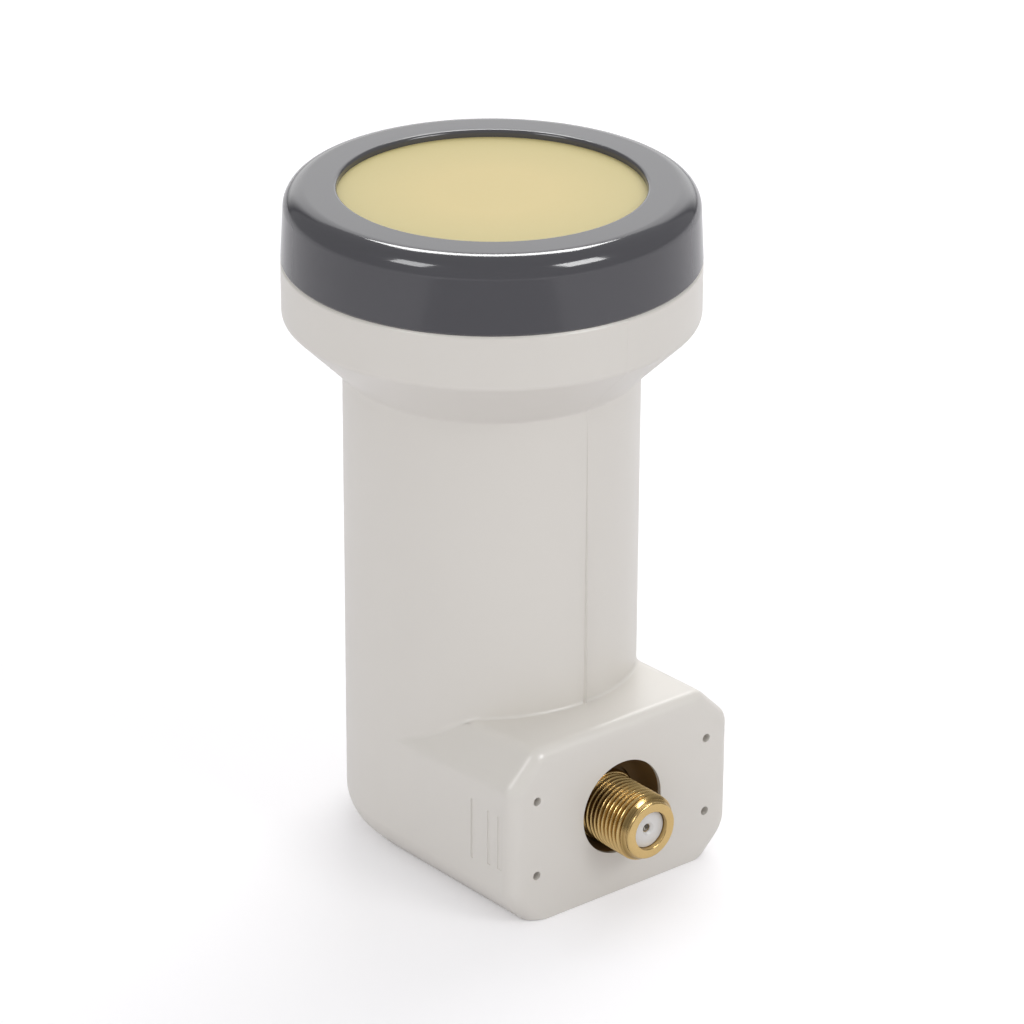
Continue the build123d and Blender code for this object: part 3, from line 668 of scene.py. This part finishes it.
# The plating keeps its bright colour on the crests and the lip, and is painted darker down in the thread's root
# as painted shade of the grooves
GOLD = ((0.64, 0.455, 0.195), (0.76, 0.545, 0.240), (0.22, 0.28), 300, 2500, 0.10)
GROOVE_SHADE = (0.34, 0.22, 0.08, 1)
CREST_FADE = (4.3, 4.66)
LIP_FADE = (-33.6, -34.1)
gold_plate = finish_material("gold_plate", *GOLD, metal=1.0)
coat_node("connector_contact", gold_plate)
gold_groove_shade = finish_material("gold_groove_shade", *GOLD, metal=1.0)
tree = gold_groove_shade.node_tree
place = tree.nodes.new("ShaderNodeTexCoord")
axis_offset = tree.nodes.new("ShaderNodeVectorMath")
axis_offset.operation = "MULTIPLY_ADD"
axis_offset.inputs[1].default_value = (1, 0, 1)
axis_offset.inputs[2].default_value = (0, 0, -SOCKET_LEVEL * MM)
tree.links.new(place.outputs["Object"], axis_offset.inputs[0])
from_axis = tree.nodes.new("ShaderNodeVectorMath")
from_axis.operation = "LENGTH"
tree.links.new(axis_offset.outputs["Vector"], from_axis.inputs[0])
parts = tree.nodes.new("ShaderNodeSeparateXYZ")
tree.links.new(place.outputs["Object"], parts.inputs["Vector"])
bright = tree.nodes.new("ShaderNodeMath")
bright.operation = "MAXIMUM"
for entry, (value, fade) in enumerate(
    ((from_axis.outputs["Value"], CREST_FADE), (parts.outputs["Y"], LIP_FADE))
):
    share = tree.nodes.new("ShaderNodeMapRange")
    share.inputs["From Min"].default_value = fade[0] * MM
    share.inputs["From Max"].default_value = fade[1] * MM
    tree.links.new(value, share.inputs["Value"])
    tree.links.new(share.outputs["Result"], bright.inputs[entry])
# Painted shade: a dark brown mixed in towards the thread's root
groove_shade_mix = tree.nodes.new("ShaderNodeMix")
groove_shade_mix.data_type = "RGBA"
groove_shade_mix.inputs["A"].default_value = GROOVE_SHADE
tree.links.new(bright.outputs["Value"], groove_shade_mix.inputs["Factor"])
tree.links.new(tree.nodes["blend"].outputs["Result"], groove_shade_mix.inputs["B"])
tree.links.new(groove_shade_mix.outputs["Result"], tree.nodes["Principled BSDF"].inputs["Base Color"])
finished(connector, gold_groove_shade, "socket_gold", "connector_body", angle=35)

# Connector core: white plastic pressed in the socket, with a countersunk hole that leads the cable's wire in.
# The sprung contact sits behind the hole, and a bush of the same plastic centres its pin at the rear.
CORE_FRONT = 33.75
CORE_RADIUS = 2.68
CORE_BORE = 0.87
LEAD_IN = 0.95
WIRE_HOLE = 0.625
HOLE_END = 33.25
FINGER_PROFILE = ((33.2, 0.54), (32.9, 0.34), (32.7, 0.10), (32.6, 0.10), (32.8, 0.38), (33.0, 0.54))
core = lathed(
    "connector_core",
    SOCKET_LEVEL,
    (
        (CORE_FRONT, LEAD_IN),
        (CORE_FRONT, CORE_RADIUS),
        (BORE_END, CORE_RADIUS),
        (BORE_END, CORE_BORE),
        (HOLE_END, CORE_BORE),
        (HOLE_END, WIRE_HOLE),
        (33.45, WIRE_HOLE),
        (CORE_FRONT, LEAD_IN),
    ),
    64,
)
rounded(core, on_turned_ring(SOCKET_LEVEL, CORE_RADIUS, CORE_FRONT), 0.12, 3)
white_core = finish_material(
    "white_core", (0.70, 0.69, 0.68), (0.78, 0.77, 0.76), (0.35, 0.45), 300, 2500, 0.1
)
finished(core, white_core, "core_white", "connector_insulator")
coat_node("connector_bush", white_core)
# Contact fingers behind the wire hole, a real part whose dull dark grey is painted shade of the deep hole
fingers = lathed("contact_fingers", SOCKET_LEVEL, (*FINGER_PROFILE, FINGER_PROFILE[0]), 32)
spring_painted_shade = finish_material(
    "spring_painted_shade", (0.20, 0.185, 0.165), (0.26, 0.24, 0.21), (0.45, 0.55), 300, 3000, 0.2, metal=1.0
)
finished(fingers, spring_painted_shade, "contact_gold")

# Feed window: thin moulded disc of pale yellow plastic, trapped between its seal and the lip of the cap ring.
# Its colour is darker and a little greener towards the rim and lighter in the middle: painted shade under the
# cap ring's lip and painted light coming through the disc.
WINDOW_RADIUS = 23.7
WINDOW_BOTTOM = 90.85
WINDOW_TOP = 92.45
RIM_SHADE = (0.605, 0.520, 0.235, 1)
RIM_SHADE_FADE = (8, 21)
window = spun(
    "window_disc",
    section((0, WINDOW_BOTTOM), (WINDOW_RADIUS, WINDOW_BOTTOM), (WINDOW_RADIUS, WINDOW_TOP), (0, WINDOW_TOP)),
    160,
)
rounded(window, on_ring(WINDOW_RADIUS, WINDOW_TOP), 0.3, 3)
window_plastic = finish_material(
    "window_plastic", (0.665, 0.545, 0.245), (0.695, 0.565, 0.255), (0.45, 0.55), 25, 1800, 0.02
)
tree = window_plastic.node_tree
shader = tree.nodes["Principled BSDF"]
shader.inputs["Specular IOR Level"].default_value = 0.15
place = tree.nodes.new("ShaderNodeTexCoord")
flat = tree.nodes.new("ShaderNodeVectorMath")
flat.operation = "MULTIPLY"
flat.inputs[1].default_value = (1, 1, 0)
tree.links.new(place.outputs["Object"], flat.inputs[0])
from_axis = tree.nodes.new("ShaderNodeVectorMath")
from_axis.operation = "LENGTH"
tree.links.new(flat.outputs["Vector"], from_axis.inputs[0])
rim_shade_share = tree.nodes.new("ShaderNodeMapRange")
rim_shade_share.inputs["From Min"].default_value = RIM_SHADE_FADE[0] * MM
rim_shade_share.inputs["From Max"].default_value = RIM_SHADE_FADE[1] * MM
tree.links.new(from_axis.outputs["Value"], rim_shade_share.inputs["Value"])
# Painted shade: the colour darkens from the middle towards the rim
rim_shade_mix = tree.nodes.new("ShaderNodeMix")
rim_shade_mix.data_type = "RGBA"
rim_shade_mix.inputs["B"].default_value = RIM_SHADE
tree.links.new(rim_shade_share.outputs["Result"], rim_shade_mix.inputs["Factor"])
tree.links.new(tree.nodes["blend"].outputs["Result"], rim_shade_mix.inputs["A"])
tree.links.new(rim_shade_mix.outputs["Result"], shader.inputs["Base Color"])
finished(window, window_plastic, "window_cream", "feed_window")

# Cap ring: dark grey moulding with a high gloss, plugged into the rim by its skirt.
# Its outer shoulder is a wide round, and the lip inside it holds the window down.
CAP_STEPS = 240
CAP_TOP = 93.45
CAP_TOP_RADIUS = 27.45
CAP_OPENING = 20.45
CAP_BORE = 23.9
CAP_SHOULDER = 3
SKIRT_RADIUS = 25.45
SKIRT_END = 77.7
SLOT_TOP = 88.7
CAP_DRAFT = atan((RIM_RADIUS - CAP_TOP_RADIUS) / (CAP_TOP - RIM_TOP - RIM_CUT))
cap = spun(
    "cap_shell",
    section(
        (CAP_BORE, SKIRT_END),
        (SKIRT_RADIUS, SKIRT_END),
        (SKIRT_RADIUS, SLOT_TOP),
        (26.155, SLOT_TOP),
        (26.45, RIM_TOP),
        (RIM_RADIUS - RIM_CUT, RIM_TOP),
        (RIM_RADIUS, RIM_TOP + RIM_CUT),
        (CAP_TOP_RADIUS, CAP_TOP),
        (CAP_OPENING, CAP_TOP),
        (CAP_OPENING, WINDOW_TOP),
        (CAP_BORE, WINDOW_TOP),
        (CAP_BORE, SKIRT_END),
    ),
    CAP_STEPS,
)
rounded(cap, on_ring(CAP_TOP_RADIUS, CAP_TOP), CAP_SHOULDER * tan((pi / 2 - CAP_DRAFT) / 2), 14)
rounded(cap, on_ring(CAP_OPENING, CAP_TOP), 0.5, 6)
rounded(cap, on_ring(RIM_RADIUS, RIM_TOP + RIM_CUT), 0.12, 3)
ring_plastic = finish_material(
    "ring_plastic", (0.076, 0.075, 0.084), (0.082, 0.081, 0.090), (0.09, 0.12), 40, 1500, 0.01
)
finished(cap, ring_plastic, "ring_grey", "cap_ring")

# Bottom cover: flat moulded plate that closes the foot, with a groove round its edge for the seal cord.
# It goes in from below and three screws, sunk in it, hold it to the chassis.
COVER_RADIUS = 14.55
COVER_FRONT = 26.25
COVER_HEIGHT = 2.4
COVER_STEPS = 96
SEAL_LOW = 0.7
SEAL_HIGH = 1.5
SEAL_DEPTH = 0.6
SEAL_OVERCUT = 1.5
SCREWS = ((0, 11.85), (10.866, -20.2), (-10.866, -20.2))
HEAD_TOP = 1.23
HEAD_SPACE = 1.85
SHANK_SPACE = 1.15


def foot_plate(name, radius, front, low, high):
    """Flat plate with the foot's plan: its outline drawn, filled and drawn up."""
    half = (radius - front * sin(FOOT_DRAFT)) / cos(FOOT_DRAFT)
    sweep = (pi + 2 * FOOT_DRAFT) / COVER_STEPS
    turns = [step * sweep - FOOT_DRAFT for step in range(COVER_STEPS + 1)]
    arc = [(radius * cos(turn), radius * sin(turn)) for turn in turns]
    plan = [(half, -front), *arc, (-half, -front)]
    plate = drawn(name, [(across * MM, along * MM, low * MM) for across, along in plan])
    bpy.ops.mesh.edge_face_add()
    bpy.ops.mesh.extrude_region_move(TRANSFORM_OT_translate={"value": (0, 0, (high - low) * MM)})
    end_edit()
    return plate


cover = foot_plate("cover_plate", COVER_RADIUS, COVER_FRONT, 0, COVER_HEIGHT)
rounded(
    cover, lambda middle, edge: abs(middle.z) < NEAR and edge.calc_face_angle() > radians(60), 0.3, 3
)
seal_space = foot_plate(
    "seal_space", COVER_RADIUS + SEAL_OVERCUT, COVER_FRONT + SEAL_OVERCUT, SEAL_LOW, SEAL_HIGH
)
groove_floor = foot_plate(
    "groove_floor", COVER_RADIUS - SEAL_DEPTH, COVER_FRONT - SEAL_DEPTH, SEAL_LOW - 0.1, SEAL_HIGH + 0.1
)
boolean(seal_space, groove_floor, "DIFFERENCE")
boolean(cover, seal_space, "DIFFERENCE")
for across, along in SCREWS:
    for radius, top in ((HEAD_SPACE, HEAD_TOP), (SHANK_SPACE, COVER_HEIGHT + 1)):
        screw_space = rod("screw_space", radius, (across, along, -1), (across, along, top), 48)
        boolean(cover, screw_space, "DIFFERENCE")
finished(cover, case_plastic, "case_grey", "bottom_cover")

# Bottom screws: zinc plated steel, with a cross recess in each rounded head.
# They go up through the cover into the chassis, with their heads sunk just below its face.
HEAD_LOW = 0.03
HEAD_RADIUS = 1.7
SHANK_RADIUS = 1
SHANK_END = 8
RECESS_BLADE = (0.45, 1.9, 1.5)
screw = spun(
    "cover_screws",
    section(
        (0, HEAD_LOW),
        (HEAD_RADIUS, HEAD_LOW),
        (HEAD_RADIUS, HEAD_TOP),
        (SHANK_RADIUS, HEAD_TOP),
        (SHANK_RADIUS, SHANK_END),
        (0, SHANK_END + 0.23),
    ),
    48,
)
rounded(screw, on_ring(HEAD_RADIUS, HEAD_LOW), 0.35, 4)
for turn in (0, pi / 2):
    bpy.ops.object.select_all(action="DESELECT")
    bpy.ops.mesh.primitive_cube_add(size=MM, rotation=(0, 0, turn), scale=RECESS_BLADE)
    blade = bpy.context.object
    bpy.ops.object.transform_apply(location=True, rotation=True, scale=True)
    boolean(screw, blade, "DIFFERENCE")
start_edit(screw)
bpy.ops.mesh.select_all(action="SELECT")
bpy.ops.transform.translate(value=(SCREWS[0][0] * MM, SCREWS[0][1] * MM, 0))
for here, there in zip(SCREWS, SCREWS[1:]):
    step = ((there[0] - here[0]) * MM, (there[1] - here[1]) * MM, 0)
    bpy.ops.mesh.duplicate_move(TRANSFORM_OT_translate={"value": step})
end_edit()
finished(screw, zinc_plate, "screw_steel", "bottom_screws")

# Floor: one pale sheet that fills the camera's whole view and keeps the soft shadow round the foot.
# The camera sees it lifted to white, and it throws a little less light back up at the part.
FLOOR_SIZE = 6
FLOOR_LEVEL = -0.05 * MM
FLOOR_LIFT = 0.215
bpy.ops.object.select_all(action="DESELECT")
bpy.ops.mesh.primitive_plane_add(size=FLOOR_SIZE, location=(0, 0, FLOOR_LEVEL))
floor = bpy.context.object
floor.name = "floor"
sheet = bpy.data.materials.new("floor_sheet")
sheet.use_nodes = True
tree = sheet.node_tree
base = tree.nodes["Principled BSDF"]
base.inputs["Roughness"].default_value = 0.8
base.inputs["Specular IOR Level"].default_value = 0.1
path = tree.nodes.new("ShaderNodeLightPath")
bounce = tree.nodes.new("ShaderNodeMix")
bounce.data_type = "RGBA"
bounce.inputs["A"].default_value = (0.88, 0.87, 0.89, 1)
bounce.inputs["B"].default_value = (0.80, 0.79, 0.81, 1)
tree.links.new(path.outputs["Is Diffuse Ray"], bounce.inputs["Factor"])
tree.links.new(bounce.outputs["Result"], base.inputs["Base Color"])
lift = tree.nodes.new("ShaderNodeMath")
lift.operation = "MULTIPLY"
lift.inputs[1].default_value = FLOOR_LIFT
tree.links.new(path.outputs["Is Camera Ray"], lift.inputs[0])
glow = tree.nodes.new("ShaderNodeEmission")
tree.links.new(lift.outputs["Value"], glow.inputs["Strength"])
both = tree.nodes.new("ShaderNodeAddShader")
tree.links.new(base.outputs["BSDF"], both.inputs[0])
tree.links.new(glow.outputs["Emission"], both.inputs[1])
tree.links.new(both.outputs["Shader"], tree.nodes["Material Output"].inputs["Surface"])
floor.data.materials.append(sheet)

# Light: a white tent lights all sides evenly, and what shines in the gloss is a darker room with soft boxes:
# two overhead, a strip and a wide panel behind. The camera sees white.
TENT = 0.635
ROOM = 0.30
world = bpy.data.worlds.new("tent")
bpy.context.scene.world = world
world.use_nodes = True
tree = world.node_tree
air = tree.nodes["Background"]
air.inputs["Color"].default_value = (1, 1, 1, 1)
path = tree.nodes.new("ShaderNodeLightPath")
dim = tree.nodes.new("ShaderNodeMix")
dim.inputs["A"].default_value = TENT
dim.inputs["B"].default_value = ROOM
tree.links.new(path.outputs["Is Glossy Ray"], dim.inputs["Factor"])
seen = tree.nodes.new("ShaderNodeMix")
seen.inputs["B"].default_value = 1
tree.links.new(path.outputs["Is Camera Ray"], seen.inputs["Factor"])
tree.links.new(dim.outputs["Result"], seen.inputs["A"])
tree.links.new(seen.outputs["Result"], air.inputs["Strength"])

TO_CAMERA = Vector((-0.623, -0.782, 0))
TO_RIGHT = Vector((0.782, -0.623, 0))
CENTRE = Vector((0, 0, 0.06))


def soft_box(name, ahead, right, up, size, glow, shines=True, lights=True):
    """Soft box at a place given towards the camera, to its right and up, with the brightness of its face."""
    lamp = bpy.data.lights.new(name, "AREA")
    lamp.shape = "RECTANGLE"
    lamp.size, lamp.size_y = size
    lamp.energy = glow * pi * size[0] * size[1]
    holder = bpy.data.objects.new(name, lamp)
    bpy.context.scene.collection.objects.link(holder)
    holder.location = CENTRE + ahead * TO_CAMERA + right * TO_RIGHT + up * UP
    holder.rotation_euler = (CENTRE - holder.location).to_track_quat("-Z", "Y").to_euler()
    holder.visible_camera = False
    holder.visible_glossy = shines
    holder.visible_diffuse = lights


soft_box("left_box", 0.56, -0.69, 0.80, (0.36, 0.36), 9, lights=False)
soft_box("right_box", 0.50, 0.75, 0.78, (0.44, 0.36), 14, lights=False)
soft_box("back_strip", -0.80, 0.0, 1.05, (0.6, 0.36), 16, lights=False)
soft_box("left_key", 0.85, -0.60, 0.35, (0.5, 0.5), 2.3, shines=False)
soft_box("right_key", 0.55, 0.82, 0.60, (0.4, 0.4), 4.5, shines=False)
soft_box("back_key", -0.90, 0.30, 0.7, (0.9, 0.7), 2.8, shines=False)

# Dark card: a sheet of grey paper that lies on the floor in front of the part, square to the camera.
# It is seen only in the gloss of the cap ring's side, which it darkens.
CARD_SIZE = (0.36, 0.42)
CARD_AHEAD = 0.36
ACROSS_VIEW = TO_RIGHT.to_2d().angle_signed(Vector((1, 0)))


def stage_sheet(name, size, place, turn, material):
    """Flat sheet of the stage that shows only in reflections."""
    bpy.ops.object.select_all(action="DESELECT")
    bpy.ops.mesh.primitive_plane_add(size=1)
    piece = bpy.context.object
    piece.name = name
    piece.scale = (*size, 1)
    piece.rotation_euler = turn
    piece.location = place
    piece.data.materials.append(material)
    piece.visible_camera = False
    piece.visible_diffuse = False
    piece.visible_shadow = False


card_paper = finish_material(
    "card_paper", (0.395, 0.395, 0.405), (0.405, 0.405, 0.415), (0.88, 0.92), 20, 400, 0.02
)
stage_sheet("dark_card", CARD_SIZE, CARD_AHEAD * TO_CAMERA + MM * UP, (0, 0, ACROSS_VIEW), card_paper)

# Back panel: a glowing sheet that stands behind the part in place of white cloth lit from above, and shows in
# its gloss.
# Its glow is painted to fade out towards the floor and the sides.
PANEL_SIZE = (2.4, 1.3)
PANEL_AHEAD = -1.45
PANEL_MIDDLE = 0.66
PANEL_GLOW = 1.65
PANEL_RISE = (-0.60, -0.30)
PANEL_FADE = (0.50, 0.25)
glow_sheet = bpy.data.materials.new("back_panel_glow")
glow_sheet.use_nodes = True
tree = glow_sheet.node_tree
tree.nodes.remove(tree.nodes["Principled BSDF"])
place = tree.nodes.new("ShaderNodeTexCoord")
parts = tree.nodes.new("ShaderNodeSeparateXYZ")
tree.links.new(place.outputs["Object"], parts.inputs["Vector"])
aside = tree.nodes.new("ShaderNodeMath")
aside.operation = "ABSOLUTE"
tree.links.new(parts.outputs["X"], aside.inputs[0])
share = tree.nodes.new("ShaderNodeMath")
share.operation = "MULTIPLY"
for entry, (value, ends) in enumerate(
    ((parts.outputs["Y"], PANEL_RISE), (aside.outputs["Value"], PANEL_FADE))
):
    fade = tree.nodes.new("ShaderNodeMapRange")
    fade.interpolation_type = "SMOOTHSTEP"
    fade.inputs["From Min"].default_value = ends[0]
    fade.inputs["From Max"].default_value = ends[1]
    tree.links.new(value, fade.inputs["Value"])
    tree.links.new(fade.outputs["Result"], share.inputs[entry])
level = tree.nodes.new("ShaderNodeMath")
level.operation = "MULTIPLY"
level.inputs[1].default_value = PANEL_GLOW
tree.links.new(share.outputs["Value"], level.inputs[0])
shine = tree.nodes.new("ShaderNodeEmission")
tree.links.new(level.outputs["Value"], shine.inputs["Strength"])
tree.links.new(shine.outputs["Emission"], tree.nodes["Material Output"].inputs["Surface"])
panel_place = PANEL_AHEAD * TO_CAMERA + PANEL_MIDDLE * UP
stage_sheet("back_panel", PANEL_SIZE, panel_place, (pi / 2, 0, ACROSS_VIEW), glow_sheet)

# Camera: a long lens at the photograph's place, looking down on the mouth and the connector's face.
# It has a hair's breadth of roll, and the picture's colours are shown as they are.
CAMERA_PLACE = Vector((-0.360966, -0.452671, 0.312370))
CAMERA_LOOK = Vector((0.5698, 0.7075, -0.4180))
CAMERA_ROLL = radians(-0.273)
view = bpy.data.cameras.new("camera")
view.sensor_width = 36
view.lens = 165.21
view.clip_start = 0.01
view.clip_end = 20
camera = bpy.data.objects.new("camera", view)
bpy.context.scene.collection.objects.link(camera)
camera.location = CAMERA_PLACE
turn = Quaternion(CAMERA_LOOK.normalized(), CAMERA_ROLL) @ CAMERA_LOOK.to_track_quat("-Z", "Y")
camera.rotation_euler = turn.to_euler()
bpy.context.scene.camera = camera
bpy.context.scene.view_settings.view_transform = "Standard"
